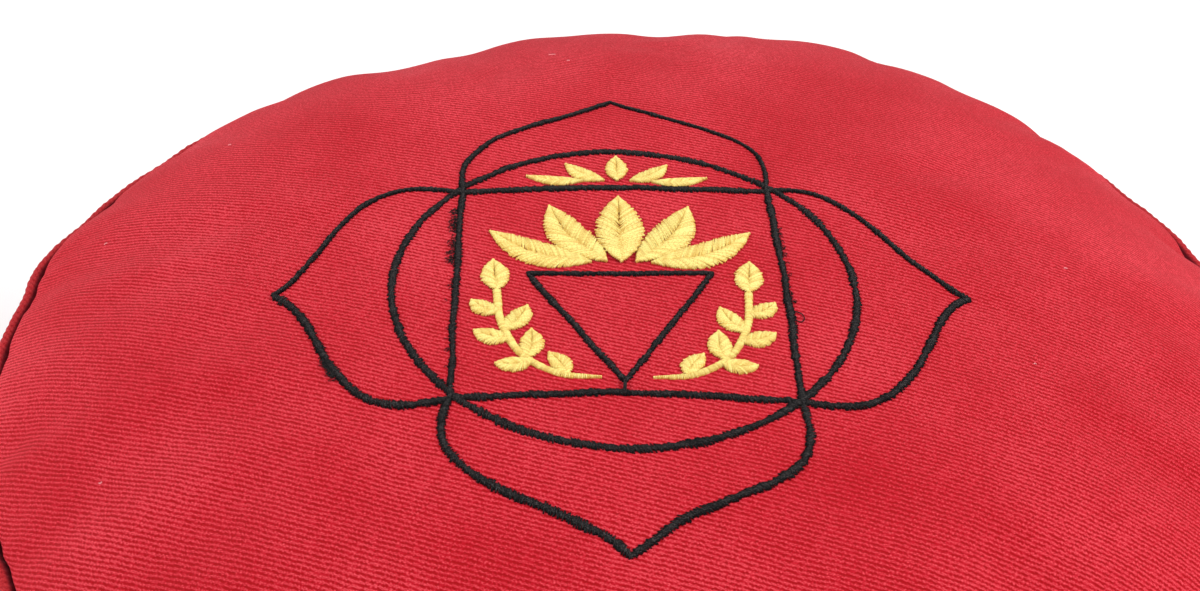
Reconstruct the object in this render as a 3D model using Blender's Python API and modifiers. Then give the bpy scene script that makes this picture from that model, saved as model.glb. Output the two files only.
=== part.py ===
"""A zafu: a round filled floor cushion, crowned, with a pleated wall and corded seams.

Metres, +Z up. The origin is the centre of the flat base, and -Y is the front.
"""

import collections
import math

import bmesh
import bpy

# Driving dimensions, in metres
SEAM_RADIUS = 0.165  # both seams, where the panels meet the wall
CROWN = 0.0422  # rise of the top panel above its seam
TOP_SEAM_HEIGHT = 0.124
BOTTOM_SEAM_HEIGHT = 0.024
FOOT_RADIUS = 0.108  # the flat that rests on the floor
BELLY = 0.011  # how far the wall stands out between its seams
PIPING_RADIUS = 0.0023
PIPING_PROUD = 0.0020  # the cord's centre, outside the seam radius
CLOTH_GAP = 0.0003  # between the cord and the cloth
GROOVE_SHARE = 0.8  # the groove's height in the seam, as a share of the piping's

# Curves of the stuffed cloth
CROWN_FULLNESS = 3.67  # rise = CROWN * (1 - share ** CROWN_FULLNESS) ** CROWN_SHOULDER
CROWN_SHOULDER = 0.787
BELLY_CURVE = 0.7  # under 1 makes the wall leave its seams steeply
BASE_CURVE = 2.4  # how soon the base panel runs flat towards the foot

# Sewing: each pleat pinches the seam, and the cloth swells between two pinches
PINCH = 0.0008
PINCH_HALF_WIDTH = 4.0  # degrees
SWELL_LIFT = 1.2  # how far the panel rises for each metre that it stands out
SWELL_REACH = 6  # a high power of the radius share keeps the swells near the rim
SEAM_HOLD = 20  # a high power brings the rise down only close to the seam
PLEAT_DEPTH = 0.0056  # the crease between two pleats, near a seam
PLEAT_DEPTH_BELLY = 0.0026  # the same half way up the wall
PLEAT_CREST = 0.62  # where a pleat stands out most, as a share of its width
PLEAT_ROUNDNESS = 2.6

# The uneven side of the rim: where each swell is centred, and how far it stands out there
Swell = collections.namedtuple("Swell", "angle out")  # degrees from +X, metres
UNEVEN_SWELLS = [
    Swell(19, -0.0025),
    Swell(30, -0.0010),
    Swell(41, 0.0010),
    Swell(50, 0.0030),
    Swell(59, 0.0035),
    Swell(71, 0.0045),
    Swell(84, 0.0020),
    Swell(96, -0.0005),
    Swell(108, -0.0010),
    Swell(119, -0.0035),
    Swell(131, 0.0),
    Swell(143, 0.0005),
    Swell(154, 0.0005),
    Swell(167, 0.0020),
    Swell(177, -0.0005),
]
EVEN_SWELLS = 15  # on the rest of the rim

# Where the mesh has its columns and rings, as shares of a pleat's width, of the radius and of a height
COLUMN_SHARES = (0.0, 0.12, 0.37, PLEAT_CREST, 0.88)
CROWN_SHARES = (0.25, 0.46, 0.63, 0.76, 0.86, 0.935, 0.98)
WALL_SHARES = (0.06, 0.15, 0.3, 0.5, 0.7, 0.85, 0.94)
BASE_SHARES = (0.06, 0.28, 0.6)
PIPING_ROUNDNESS = 1  # bevel resolution
WELD_DISTANCE = 0.00001

CLOTH_RED = (0.61, 0.030, 0.042, 1.0)
PIPING_RED = (0.52, 0.026, 0.030, 1.0)

# One ring of the cushion. The weights say how much of the swell, the pinch and the pleats' crease reaches it.
Ring = collections.namedtuple("Ring", "radius height swell lift pinch crease", defaults=(0.0, 0.0, 0.0, 0.0))


def all_swells():
    """The uneven swells, then the even ones, once round the rim."""
    first, last = UNEVEN_SWELLS[0].angle, UNEVEN_SWELLS[-1].angle
    step = (first + 360 - last) / (EVEN_SWELLS + 1)
    return UNEVEN_SWELLS + [Swell(last + step * (i + 1), 0.0) for i in range(EVEN_SWELLS)]


SWELLS = all_swells()
LOOP = SWELLS + [Swell(SWELLS[0].angle + 360, SWELLS[0].out)]
PINCHES = [(left.angle + right.angle) / 2 for left, right in zip(LOOP, LOOP[1:])]
PINCHES.append(PINCHES[0] + 360)


def swell_at(angle):
    """How far the cloth swells out of round at this angle in degrees."""
    turned = (angle - LOOP[0].angle) % 360 + LOOP[0].angle
    for left, right in zip(LOOP, LOOP[1:]):
        if left.angle <= turned <= right.angle:
            share = 0.5 - 0.5 * math.cos(math.pi * (turned - left.angle) / (right.angle - left.angle))
            return left.out + (right.out - left.out) * share
    return 0.0


def pinch_at(angle):
    """How far a pleat's stitches pull the seam in at this angle in degrees."""
    nearest = min(abs((angle - pinch + 180) % 360 - 180) for pinch in PINCHES)
    return PINCH * math.cos(math.pi / 2 * min(1.0, nearest / PINCH_HALF_WIDTH)) ** 2


def column_places():
    """(angle in degrees, crease share) of each mesh column. The share is 0 on a crest and 1 between two pleats."""
    places = []
    for left, right in zip(PINCHES, PINCHES[1:]):
        for share in COLUMN_SHARES:
            reach = PLEAT_CREST if share < PLEAT_CREST else 1 - PLEAT_CREST
            crease = (abs(share - PLEAT_CREST) / reach) ** PLEAT_ROUNDNESS
            places.append((left + (right - left) * share, crease))
    return places


def crown_rings():
    """The top panel, from near its centre to the seam."""
    rings = [Ring(0.0, TOP_SEAM_HEIGHT + CROWN)]
    for share in CROWN_SHARES:
        rise = CROWN * (1 - share**CROWN_FULLNESS) ** CROWN_SHOULDER
        swell = share**SWELL_REACH
        lift = SWELL_LIFT * swell * (1 - share**SEAM_HOLD)
        rings.append(Ring(SEAM_RADIUS * share, TOP_SEAM_HEIGHT + rise, swell, lift, swell))
    return rings


def groove_rings(height, swell):
    """The seam's groove, which holds the piping."""
    radius = SEAM_RADIUS + PIPING_PROUD - PIPING_RADIUS - CLOTH_GAP
    edge = PIPING_RADIUS * GROOVE_SHARE
    return [Ring(radius, height + up, swell, 0.0, 1.0) for up in (edge, 0.0, -edge)]


def wall_rings():
    """The pleated wall, from the top seam down to the bottom one."""
    rings = []
    sewn = math.sin(math.pi * WALL_SHARES[1])
    for share in WALL_SHARES:
        bulge = math.sin(math.pi * share)
        radius = SEAM_RADIUS + BELLY * bulge**BELLY_CURVE
        height = TOP_SEAM_HEIGHT + (BOTTOM_SEAM_HEIGHT - TOP_SEAM_HEIGHT) * share
        depth = PLEAT_DEPTH + (PLEAT_DEPTH_BELLY - PLEAT_DEPTH) * bulge**3
        depth *= min(1.0, bulge / sewn) ** 2
        rings.append(Ring(radius, height, 1 - share, 0.0, 1 - bulge, depth))
    return rings


def base_rings():
    """The base panel, from the bottom seam to the flat foot."""
    rings = []
    for share in BASE_SHARES:
        radius = SEAM_RADIUS + (FOOT_RADIUS - SEAM_RADIUS) * share
        height = BOTTOM_SEAM_HEIGHT * (1 - share) ** BASE_CURVE
        rings.append(Ring(radius, height, pinch=(1 - share) ** 3))
    return rings + [Ring(FOOT_RADIUS, 0.0), Ring(0.0, 0.0)]


def cloth_material(name, colour):
    """Matt cotton."""
    material = bpy.data.materials.new(name)
    material.use_nodes = True
    shader = material.node_tree.nodes["Principled BSDF"]
    shader.inputs["Base Color"].default_value = colour
    shader.inputs["Roughness"].default_value = 0.85
    shader.inputs["Metallic"].default_value = 0.0
    return material


def add_object(name, data, collection, material):
    """Link a new object of this data and give it its material."""
    made = bpy.data.objects.new(name, data)
    made.data.materials.append(material)
    collection.objects.link(made)
    return made


def turned(name, rings, steps, collection):
    """The rings' profile turned once round Z, as a mesh whose points go ring by ring within each step."""
    profile = bpy.data.meshes.new(name + "_profile")
    points = [(ring.radius, 0.0, ring.height) for ring in rings]
    profile.from_pydata(points, [(i, i + 1) for i in range(len(points) - 1)], [])
    helper = bpy.data.objects.new(name + "_profile", profile)
    collection.objects.link(helper)
    screw = helper.modifiers.new("Turn", "SCREW")
    screw.steps = screw.render_steps = steps
    screw.use_merge_vertices = False
    screw.use_smooth_shade = True
    bpy.context.view_layer.update()
    mesh = bpy.data.meshes.new_from_object(helper.evaluated_get(bpy.context.evaluated_depsgraph_get()))
    bpy.data.objects.remove(helper)
    bpy.data.meshes.remove(profile)
    mesh.name = name
    return mesh


def weld_poles(mesh):
    """Join the points that lie on the axis, and drop the faces that they leave flat."""
    shape = bmesh.new()
    shape.from_mesh(mesh)
    bmesh.ops.remove_doubles(shape, verts=shape.verts, dist=WELD_DISTANCE)
    bmesh.ops.recalc_face_normals(shape, faces=shape.faces)
    shape.to_mesh(mesh)
    shape.free()


def build_cushion(collection):
    """The filled cushion: a turned body, whose points then follow the pleats, pinches and swells."""
    rings = crown_rings() + groove_rings(TOP_SEAM_HEIGHT, 1.0) + wall_rings()
    rings += groove_rings(BOTTOM_SEAM_HEIGHT, 0.0) + base_rings()
    columns = column_places()
    mesh = turned("cushion", rings, len(columns), collection)
    for i, vertex in enumerate(mesh.vertices):
        angle, crease = columns[i // len(rings)]
        ring = rings[i % len(rings)]
        swell, pinch = swell_at(angle), pinch_at(angle)
        radius = ring.radius + ring.swell * swell - ring.pinch * pinch - ring.crease * crease
        height = ring.height + ring.lift * (swell - pinch)
        turn = math.radians(angle)
        vertex.co = (radius * math.cos(turn), radius * math.sin(turn), height)
    weld_poles(mesh)
    add_object("cushion", mesh, collection, cloth_material("red cotton", CLOTH_RED))


def build_piping(name, height, swell, collection, material):
    """A cloth-covered cord sewn into a seam, in a closed ring along it."""
    curve = bpy.data.curves.new(name, "CURVE")
    curve.dimensions = "3D"
    curve.bevel_depth = PIPING_RADIUS
    curve.bevel_resolution = PIPING_ROUNDNESS
    columns = column_places()
    spline = curve.splines.new("POLY")
    spline.points.add(len(columns) - 1)
    spline.use_cyclic_u = True
    for point, (angle, _) in zip(spline.points, columns):
        radius = SEAM_RADIUS + PIPING_PROUD + swell * swell_at(angle) - pinch_at(angle)
        turn = math.radians(angle)
        point.co = (radius * math.cos(turn), radius * math.sin(turn), height, 1.0)
    add_object(name, curve, collection, material)


def main():
    for thing in list(bpy.data.objects):
        bpy.data.objects.remove(thing)
    zafu = bpy.data.collections.new("zafu")
    bpy.context.scene.collection.children.link(zafu)
    build_cushion(zafu)
    cord_cloth = cloth_material("red piping", PIPING_RED)
    build_piping("piping_top", TOP_SEAM_HEIGHT, 1.0, zafu, cord_cloth)
    build_piping("piping_bottom", BOTTOM_SEAM_HEIGHT, 0.0, zafu, cord_cloth)


main()
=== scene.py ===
import collections
import math
import random

import bpy
import numpy as np
from mathutils import Matrix, Vector, noise
from mathutils.bvhtree import BVHTree


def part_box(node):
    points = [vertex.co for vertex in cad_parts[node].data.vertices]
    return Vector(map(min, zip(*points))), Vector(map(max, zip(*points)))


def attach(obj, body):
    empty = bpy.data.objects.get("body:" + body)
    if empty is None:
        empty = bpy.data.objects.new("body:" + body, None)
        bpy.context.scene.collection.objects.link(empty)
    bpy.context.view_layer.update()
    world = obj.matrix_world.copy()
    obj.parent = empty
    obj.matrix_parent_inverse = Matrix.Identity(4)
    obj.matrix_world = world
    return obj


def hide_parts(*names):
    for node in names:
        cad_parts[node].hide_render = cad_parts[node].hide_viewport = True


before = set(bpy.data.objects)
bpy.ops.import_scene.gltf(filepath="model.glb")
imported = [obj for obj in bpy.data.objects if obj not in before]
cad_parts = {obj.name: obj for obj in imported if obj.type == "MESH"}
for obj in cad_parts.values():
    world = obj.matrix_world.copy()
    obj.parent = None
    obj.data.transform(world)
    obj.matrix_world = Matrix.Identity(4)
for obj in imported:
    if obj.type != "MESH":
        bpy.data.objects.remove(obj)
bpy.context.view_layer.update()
mm = 0.001


# node trees

def sumWith(operation):  # a sum with what stands to the right of a plug
    return lambda plug, value: plug.sheet.maths(operation, plug, value)


class Plug:  # an output socket that does maths
    __add__ = __radd__ = sumWith("ADD")
    __sub__ = sumWith("SUBTRACT")
    __mul__ = __rmul__ = sumWith("MULTIPLY")
    __truediv__ = sumWith("DIVIDE")
    __pow__ = sumWith("POWER")

    def __init__(self, sheet, socket):
        self.sheet = sheet
        self.socket = socket

    def __rsub__(self, value):
        return self.sheet.maths("SUBTRACT", value, self)

    def __abs__(self):
        return self.sheet.maths("ABSOLUTE", self)

    def other(self, name):  # another output of the same node
        return Plug(self.sheet, self.socket.node.outputs[name])


class NodeSheet:  # adds nodes to a shader's or a modifier's tree
    def __init__(self, tree):
        self.tree = tree

    def feed(self, socket, value):
        if isinstance(value, Plug):
            self.tree.links.new(value.socket, socket)
        else:
            socket.default_value = value

    def node(self, kind, settings=None, sockets=None, out=0):
        made = self.tree.nodes.new(kind)
        for name, value in (settings or {}).items():
            setattr(made, name, value)
        for name, value in (sockets or {}).items():
            self.feed(made.inputs[name], value)
        return Plug(self, made.outputs[out]) if made.outputs else made

    def maths(self, operation, *values):
        return self.node("ShaderNodeMath", {"operation": operation}, dict(enumerate(values)))

    def clamp(self, value):
        return self.node("ShaderNodeClamp", None, {0: value})

    def vector(self, x=0.0, y=0.0, z=0.0):
        return self.node("ShaderNodeCombineXYZ", None, {0: x, 1: y, 2: z})

    def attribute(self, name):
        return self.node("ShaderNodeAttribute", {"attribute_name": name}, None, "Fac")

    def mottle(self, place, scale, detail=2.0, roughness=0.5, dimensions="2D"):
        return self.node("ShaderNodeTexNoise", {"noise_dimensions": dimensions},
                         {"Vector": place, "Scale": scale, "Detail": detail, "Roughness": roughness})

    def bump(self, height, strength, distance):
        sockets = {"Strength": strength, "Distance": distance, "Height": height}
        return self.node("ShaderNodeBump", None, sockets)

    def blendColours(self, factor, first, second):
        return self.node("ShaderNodeMix", {"data_type": "RGBA"}, {0: factor, 6: first, 7: second}, 2)

    def colourRamp(self, factor, places, colours):
        made = self.tree.nodes.new("ShaderNodeValToRGB")
        for place in places[2:]:
            made.color_ramp.elements.new(place)
        for element, place, colour in zip(made.color_ramp.elements, places, colours):
            element.position = place
            element.color = colour
        self.feed(made.inputs["Fac"], factor)
        return Plug(self, made.outputs["Color"])


def startMaterial(name):
    material = bpy.data.materials.new(name)
    material.use_nodes = True
    material.node_tree.nodes.clear()
    return material, NodeSheet(material.node_tree)


def finishMaterial(sheet, sockets):
    shader = sheet.node("ShaderNodeBsdfPrincipled", None, sockets)
    sheet.node("ShaderNodeOutputMaterial", None, {"Surface": shader})


# ribbed cotton: the cloth's own map gives metres along the ribs (x) and across them (y)

ribbedCotton = {
    "ribPitch": 1.285 * mm,
    "dashLength": 1.4 * mm,
    "dashContrast": 4.2,
    "dashDensity": 1.2,
    "stretch": 3,  # how unevenly the dashes follow each other
    "stitchTilt": 0.20,  # how far a stitch leans across its rib, in ribs
    "grainLength": 0.50 * mm,
    "grainWidth": 0.24 * mm,
    "wander": 0.4,  # of a rib
    "jitter": 0.7,  # of the wander
    "driftScale": 45.0,  # this and the next two are noise scales, per metre
    "jitterScale": 260.0,
    "patchScale": 22.0,
    "rowStrides": (5.37, 3.71),  # far steps through the noise, so no row repeats another
    "noisePlaces": (60.0, 40.0),  # of the dashes and the grain
    "ribHeight": 0.15 * mm,
    "ribStrength": 0.9,
    # painted shade and highlight: the tones below darken the valleys and dashes and lighten the ridges,
    # while the grain and patches are the cloth's own uneven tone
    "middleTone": 0.72,
    "ribDepth": 0.32,
    "dashDepth": 0.62,
    "valleyPower": 1.7,  # above 1 makes the dark lines narrower than the ribs
    "grainDepth": 1.18,
    "unevenness": 0.40,
    "tonePlaces": (0.08, 0.50, 0.92),  # where the next three colours stand from dark to light
    "deep": (0.350, 0.0002, 0.0030, 1),
    "body": (0.470, 0.0018, 0.0125, 1),
    "light": (0.740, 0.0640, 0.0860, 1),
    # painted shade: the dark colour laid into the crevice where the panel meets the piping
    "paintedSeamShade": (0.085, 0.0005, 0.0050, 1),
    "roughness": 0.85,
    "roughnessGrain": 0.12,
    "sheen": 0.05,
    "sheenTint": (1.0, 0.55, 0.60, 1),
    "specular": 0.15,
}
# the piping's cotton: the panel's weave with less relief, its colours darkened as painted shade
cordCotton = {
    **ribbedCotton,
    "middleTone": 0.66,
    "ribDepth": 0.14,
    "dashDepth": 0.14,
    "ribHeight": 0.12 * mm,
    "deep": (0.20, 0.0015, 0.0040, 1),
    "body": (0.38, 0.0090, 0.0140, 1),
    "light": (0.56, 0.0420, 0.0480, 1),
}


def clothMaterial(name, cloth):
    material, sheet = startMaterial(name)
    place = sheet.node("ShaderNodeUVMap", {"uv_map": "cloth"})
    split = sheet.node("ShaderNodeSeparateXYZ", None, {0: place})
    along, across = split, split.other("Y")

    def speckle(x, y, detail=2.0):
        return sheet.mottle(sheet.vector(x, y), 1.0, detail)

    drift = sheet.mottle(place, cloth["driftScale"], detail=1.0)
    jitter = sheet.mottle(place, cloth["jitterScale"], detail=0.0)
    turn = across / cloth["ribPitch"] + (drift - 0.5) * (2 * cloth["wander"])
    turn = turn + (jitter - 0.5) * (cloth["jitter"] * cloth["wander"])  # a rib is one turn
    row = sheet.maths("FLOOR", turn + 0.5)
    stitchStride, dashStride = cloth["rowStrides"]
    dashPlace, grainPlace = cloth["noisePlaces"]
    stretch = speckle(along / (4 * cloth["dashLength"]), row * stitchStride, detail=0.0)
    stitch = along / cloth["dashLength"] + cloth["stretch"] * stretch
    lean = (sheet.maths("FRACT", stitch) - 0.5) * cloth["stitchTilt"]
    ridge = 0.5 - 0.5 * sheet.maths("COSINE", (turn + lean) * (2 * math.pi))  # valleys lie at whole turns
    dash = speckle(stitch * cloth["dashDensity"], row * dashStride + dashPlace, detail=1.5)
    dash = sheet.clamp(0.5 + cloth["dashContrast"] * (dash - 0.5))
    grain = speckle(along / cloth["grainLength"], across / cloth["grainWidth"] + grainPlace)
    patches = sheet.mottle(place, cloth["patchScale"], detail=3.0)
    # painted shade and highlight: the colour follows the relief, darker in the valleys and dashes and
    # lighter on the ridges, while grain and patches add the yarn's own uneven tone
    valley = (1 - ridge) ** cloth["valleyPower"]
    height = cloth["middleTone"] - cloth["ribDepth"] * valley - cloth["dashDepth"] * valley * dash
    height = height + cloth["grainDepth"] * (grain - 0.5)
    tone = height + (patches - 0.5) * cloth["unevenness"]
    colour = sheet.colourRamp(tone, cloth["tonePlaces"], (cloth["deep"], cloth["body"], cloth["light"]))
    finishMaterial(sheet, {
        # painted shade: the seam's dark colour is blended in by each point's share of painted seam shade
        "Base Color": sheet.blendColours(sheet.attribute("paintedShadeShare"), colour, cloth["paintedSeamShade"]),
        "Roughness": cloth["roughness"] + cloth["roughnessGrain"] * grain,
        "Sheen Weight": cloth["sheen"],
        "Sheen Tint": cloth["sheenTint"],
        "Specular IOR Level": cloth["specular"],
        "Normal": sheet.bump(height, cloth["ribStrength"], cloth["ribHeight"]),
    })
    return material


# embroidery thread: each stitch carries its own tone, and how far across the line a point lies

plainThread = {  # what every thread starts from
    "fibreShare": 1.7,
    "fibreRoughness": 0.2,
    "paintedEndShade": 0.30,  # painted shade: a stitch is darker where it dives into the cloth
    "endPower": 3,
    "notches": 0.0,
    "paintedHoleShade": 0.0,
    "holeStagger": 7.0,  # from stitch to stitch
    "holeEdge": 0.38,
    "holeSharpness": 8.0,
    "bumpStrength": 0.5,
    "bumpHeight": 0.06 * mm,
}
blackThread = {
    **plainThread,
    "dark": (0.0010, 0.0010, 0.0014, 1),
    # painted highlight: the light colour makes grey glints on the black fibres
    "light": (0.105, 0.092, 0.092, 1),
    "lightShare": 0.06,
    "contrast": 2.8,
    "toneShare": 0.12,  # how much one stitch differs from the next
    "roughness": 0.55,
    "specular": 0.10,
    "fibreSize": 0.18 * mm,
}
goldThread = {
    **plainThread,
    "dark": (0.70, 0.42, 0.076, 1),
    "light": (0.92, 0.81, 0.28, 1),
    "lightShare": 0.86,
    "contrast": 2.5,
    "toneShare": 0.42,
    "notches": 2.6,  # needle holes along half a stitch, painted as dark dots of shade
    "paintedHoleShade": 0.50,
    "roughness": 0.45,
    "specular": 0.3,
    "fibreSize": 0.16 * mm,
}


def threadMaterial(name, thread):
    material, sheet = startMaterial(name)
    tone = sheet.attribute("tone")
    across = sheet.attribute("across")
    place = sheet.node("ShaderNodeTexCoord", None, None, "Object")
    fibre = sheet.mottle(place, 1 / thread["fibreSize"], roughness=0.6, dimensions="3D")
    # painted shade: a stitch darkens towards its ends, where it dives into the cloth, and at its needle
    # holes
    ends = abs(across) ** thread["endPower"]
    hole = abs(sheet.maths("FRACT", across * thread["notches"] + tone * thread["holeStagger"]) - 0.5)
    hole = sheet.clamp((hole - thread["holeEdge"]) * thread["holeSharpness"])
    spread = (fibre - 0.5) * thread["fibreShare"] + (tone - 0.5) * thread["toneShare"]
    spread = spread - thread["paintedEndShade"] * ends - thread["paintedHoleShade"] * hole
    share = sheet.clamp(thread["lightShare"] + spread * thread["contrast"])
    finishMaterial(sheet, {
        "Base Color": sheet.blendColours(share, thread["dark"], thread["light"]),
        "Roughness": thread["roughness"] + thread["fibreRoughness"] * fibre,
        "Specular IOR Level": thread["specular"],
        "Normal": sheet.bump(fibre, thread["bumpStrength"], thread["bumpHeight"]),
    })
    return material


redCotton = clothMaterial("redCotton", ribbedCotton)
pipingCotton = clothMaterial("pipingCotton", cordCotton)
blackYarn = threadMaterial("blackYarn", blackThread)
goldYarn = threadMaterial("goldYarn", goldThread)
print("materials ready")


# meshes

tiny = 1e-9


def linkPiece(name, data):
    piece = bpy.data.objects.new(name, data)
    bpy.context.scene.collection.objects.link(piece)
    return piece


def plainCopy(piece, name):  # the evaluated piece as a plain mesh, in place of the piece
    bpy.context.view_layer.update()
    mesh = bpy.data.meshes.new_from_object(piece.evaluated_get(bpy.context.evaluated_depsgraph_get()))
    mesh.name = name
    made = linkPiece(name, mesh)
    bpy.data.objects.remove(piece)
    return made


def readVectors(points, name):  # one row for each point
    values = np.empty(len(points) * 3, np.float32)
    points.foreach_get(name, values)
    return values.reshape(-1, 3)


def writeValues(mesh, name, values, kind="FLOAT", key="value"):  # one for each point
    layer = mesh.attributes.new(name, kind, "POINT")
    layer.data.foreach_set(key, np.array(values, np.float32).ravel())


def clothMesh(name, points, faces, spots, paintedShadeShare):  # spots are the corners' places on the cloth's map
    mesh = bpy.data.meshes.new(name)
    mesh.from_pydata(points, [], faces)
    mesh.uv_layers.new(name="cloth").data.foreach_set("uv", np.array(spots, np.float32).ravel())
    mesh.update()
    # each point's share of painted seam shade
    writeValues(mesh, "paintedShadeShare", paintedShadeShare)
    return linkPiece(name, mesh)


def wrapped(angle):  # degrees, from -180 to 180
    return (angle + 180) % 360 - 180


# the cushion: crowned panel, pleated wall and base, on the CAD solid's own sizes

topSeam = sum(corner[2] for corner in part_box("piping_top")) / 2
bottomSeam = sum(corner[2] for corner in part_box("piping_bottom")) / 2
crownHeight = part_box("cushion")[1][2] - topSeam

cover = {
    "seamRadius": 165 * mm,
    "footRadius": 108 * mm,
    "belly": 11 * mm,
    "crownFullness": 3.67,
    "crownShoulder": 0.787,
    "bellyCurve": 0.7,
    "baseCurve": 2.4,
    "tuck": 1.6 * mm,  # how far the top panel dives into its seam beside the piping
    "tuckReach": 300,  # each reach is a power of the radius share, and a high one stays near the rim
    "baseTuck": 0.4 * mm,
    "baseTuckReach": 60,
    "overhang": 4.0 * mm,  # the filled panel rolls out over the piping
    "overhangReach": 26,
    "overhangEnd": 150,
    "pinch": 0.8 * mm,
    "pinchHalfWidth": 4.0,  # degrees
    "pinchFade": 3,
    "swellLift": 1.2,
    "swellReach": 6,
    "seamHold": 20,
    "pleatDepth": 5.6 * mm,
    "bellyPleatDepth": 2.6 * mm,
    "pleatStart": 0.15,  # of the wall's height: a pleat has its full depth from here
    "pleatCrest": (0.92, 0.66),  # where across its width a pleat stands out most, at a seam and half way up
    "pleatUnevenness": 0.3,  # of the depth
    "pleatSeed": 21,
    "pleatSway": 1.3,  # degrees
    "swayScales": (0.7, 2.2),  # round the rim and down the wall
    "swaySeed": 4,
    "foldCrowding": 0.7,  # the mesh has more columns near the folds
    "pleatRoundness": 2.2,
    "gridSize": 75,  # cells across each panel, so 4 times as many columns round the rim
    "gridCorner": 45,  # degrees
    "gridWarp": 4,  # a power: the panels' grid follows the pleats only near the rim
    "wallRows": 34,
    "evenRows": 0.45,  # how evenly the rows are spaced, and the rest crowd near the seams
    "edgeCrowding": 1.6,
    "swellAngles": (19, 30, 41, 50, 59, 71, 84, 96, 108, 119, 131, 143, 154, 167, 177),
    "swellOut": (-2.5, -1, 1, 3, 3.5, 4.5, 2, -0.5, -1, -3.5, 0, 0.5, 0.5, 2, -0.5),  # mm, at those angles
    "evenSwells": 15,
}
clothMap = {  # the panels lie flat on it, and each zone has its own place, in metres
    "ribSlope": 0.268,
    "ribBend": 0.351,
    "ribTwist": 2.02,
    "wallSlack": 1.12,
    "baseFlatness": 0.5,
    "arcPoints": 400,
    "wallPlace": (2, 1),
    "basePlace": 0.6,
}


def rimTables():  # angle and reach of each swell, and the angles of the pinches between them
    angles = list(cover["swellAngles"])
    step = (angles[0] + 360 - angles[-1]) / (cover["evenSwells"] + 1)
    angles += [angles[-1] + step * (i + 1) for i in range(cover["evenSwells"])]
    outs = [out * mm for out in cover["swellOut"]] + [0.0] * cover["evenSwells"]
    angles.append(angles[0] + 360)
    outs.append(outs[0])
    pinches = [(a + b) / 2 for a, b in zip(angles, angles[1:])]
    return np.array(angles), np.array(outs), np.array(pinches + [pinches[0] + 360])


swellAngles, swellOuts, pinchAngles = rimTables()
pleatCount = len(pinchAngles) - 1
pleatDraw = random.Random(cover["pleatSeed"])
pleatMoods = [pleatDraw.uniform(-1, 1) for _ in range(pleatCount)]
pleatMoods.append(pleatMoods[0])


def swellAt(angle):
    turned = (angle - swellAngles[0]) % 360 + swellAngles[0]
    i = np.clip(np.searchsorted(swellAngles, turned, side="right") - 1, 0, len(swellAngles) - 2)
    share = (turned - swellAngles[i]) / (swellAngles[i + 1] - swellAngles[i])
    ease = 0.5 - 0.5 * np.cos(np.pi * share)
    return swellOuts[i] + (swellOuts[i + 1] - swellOuts[i]) * ease


def pinchAt(angle):
    away = np.abs(wrapped(np.asarray(angle)[..., None] - pinchAngles[:-1])).min(axis=-1)
    return cover["pinch"] * np.cos(np.pi / 2 * np.minimum(1, away / cover["pinchHalfWidth"])) ** 2


def crowded(turn):  # the mesh's even turns, drawn towards the folds
    return turn - cover["foldCrowding"] * np.sin(2 * np.pi * turn) / (2 * np.pi)


def pleatAngle(turn):  # turn counts pleats, from the pinch nearest the mesh's first column
    first = int(np.argmin(np.abs(pinchAngles - (360 - cover["gridCorner"]))))
    whole = np.arange(pleatCount + 1) + first
    stops = pinchAngles[whole % pleatCount] + 360 * (whole // pleatCount) - 360
    return np.interp(crowded(turn), np.arange(pleatCount + 1), stops)


def panelAngle(share, turn):  # even turns in the middle, and the pleats' own at the rim
    straight = turn * 360 / pleatCount - cover["gridCorner"]
    return straight + wrapped(pleatAngle(turn) - straight) * share ** cover["gridWarp"]


def creaseAt(turn, bulge):  # 0 on a pleat's crest, 1 between two pleats
    share = crowded(turn) % 1
    crest = cover["pleatCrest"][0] + (cover["pleatCrest"][1] - cover["pleatCrest"][0]) * bulge ** 2
    return (np.abs(share - crest) / np.where(share < crest, crest, 1 - crest)) ** cover["pleatRoundness"]


def discGrid(size):  # a square grid pressed into a disc: radius share and turn of each point, row by row
    steps = np.linspace(-1, 1, size + 1)
    a, b = np.meshgrid(steps, steps, indexing="ij")
    wide = np.abs(a) >= np.abs(b)
    big = np.where(wide, a, b)
    small = np.where(wide, b, a)
    safe = np.where(big == 0, 1, big)
    corner = cover["gridCorner"]
    angle = np.where(wide, corner * small / safe, 90 - corner * small / safe) + np.where(big < 0, 180, 0)
    share = 1 - (1 - np.abs(big)) ** cover["edgeCrowding"]
    return share.ravel(), ((angle + corner) % 360 / 360 * pleatCount).ravel()


def polar(radius, angle, height):
    turn = np.radians(angle)
    return np.stack([radius * np.cos(turn), radius * np.sin(turn), height + 0 * radius], axis=-1)


def crownRise(share):
    return crownHeight * (1 - share ** cover["crownFullness"]) ** cover["crownShoulder"]


def crownPoints(share, turn):
    angle = panelAngle(share, turn)
    shift = swellAt(angle) - pinchAt(angle)
    reach = share ** cover["swellReach"]
    overhang = cover["overhang"] * share ** cover["overhangReach"] * (1 - share ** cover["overhangEnd"])
    tuck = cover["tuck"] * share ** cover["tuckReach"]
    radius = cover["seamRadius"] * share + shift * reach + overhang - tuck
    lift = cover["swellLift"] * shift * reach * (1 - share ** cover["seamHold"])
    return polar(radius, angle, topSeam + crownRise(share) + lift)


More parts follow.
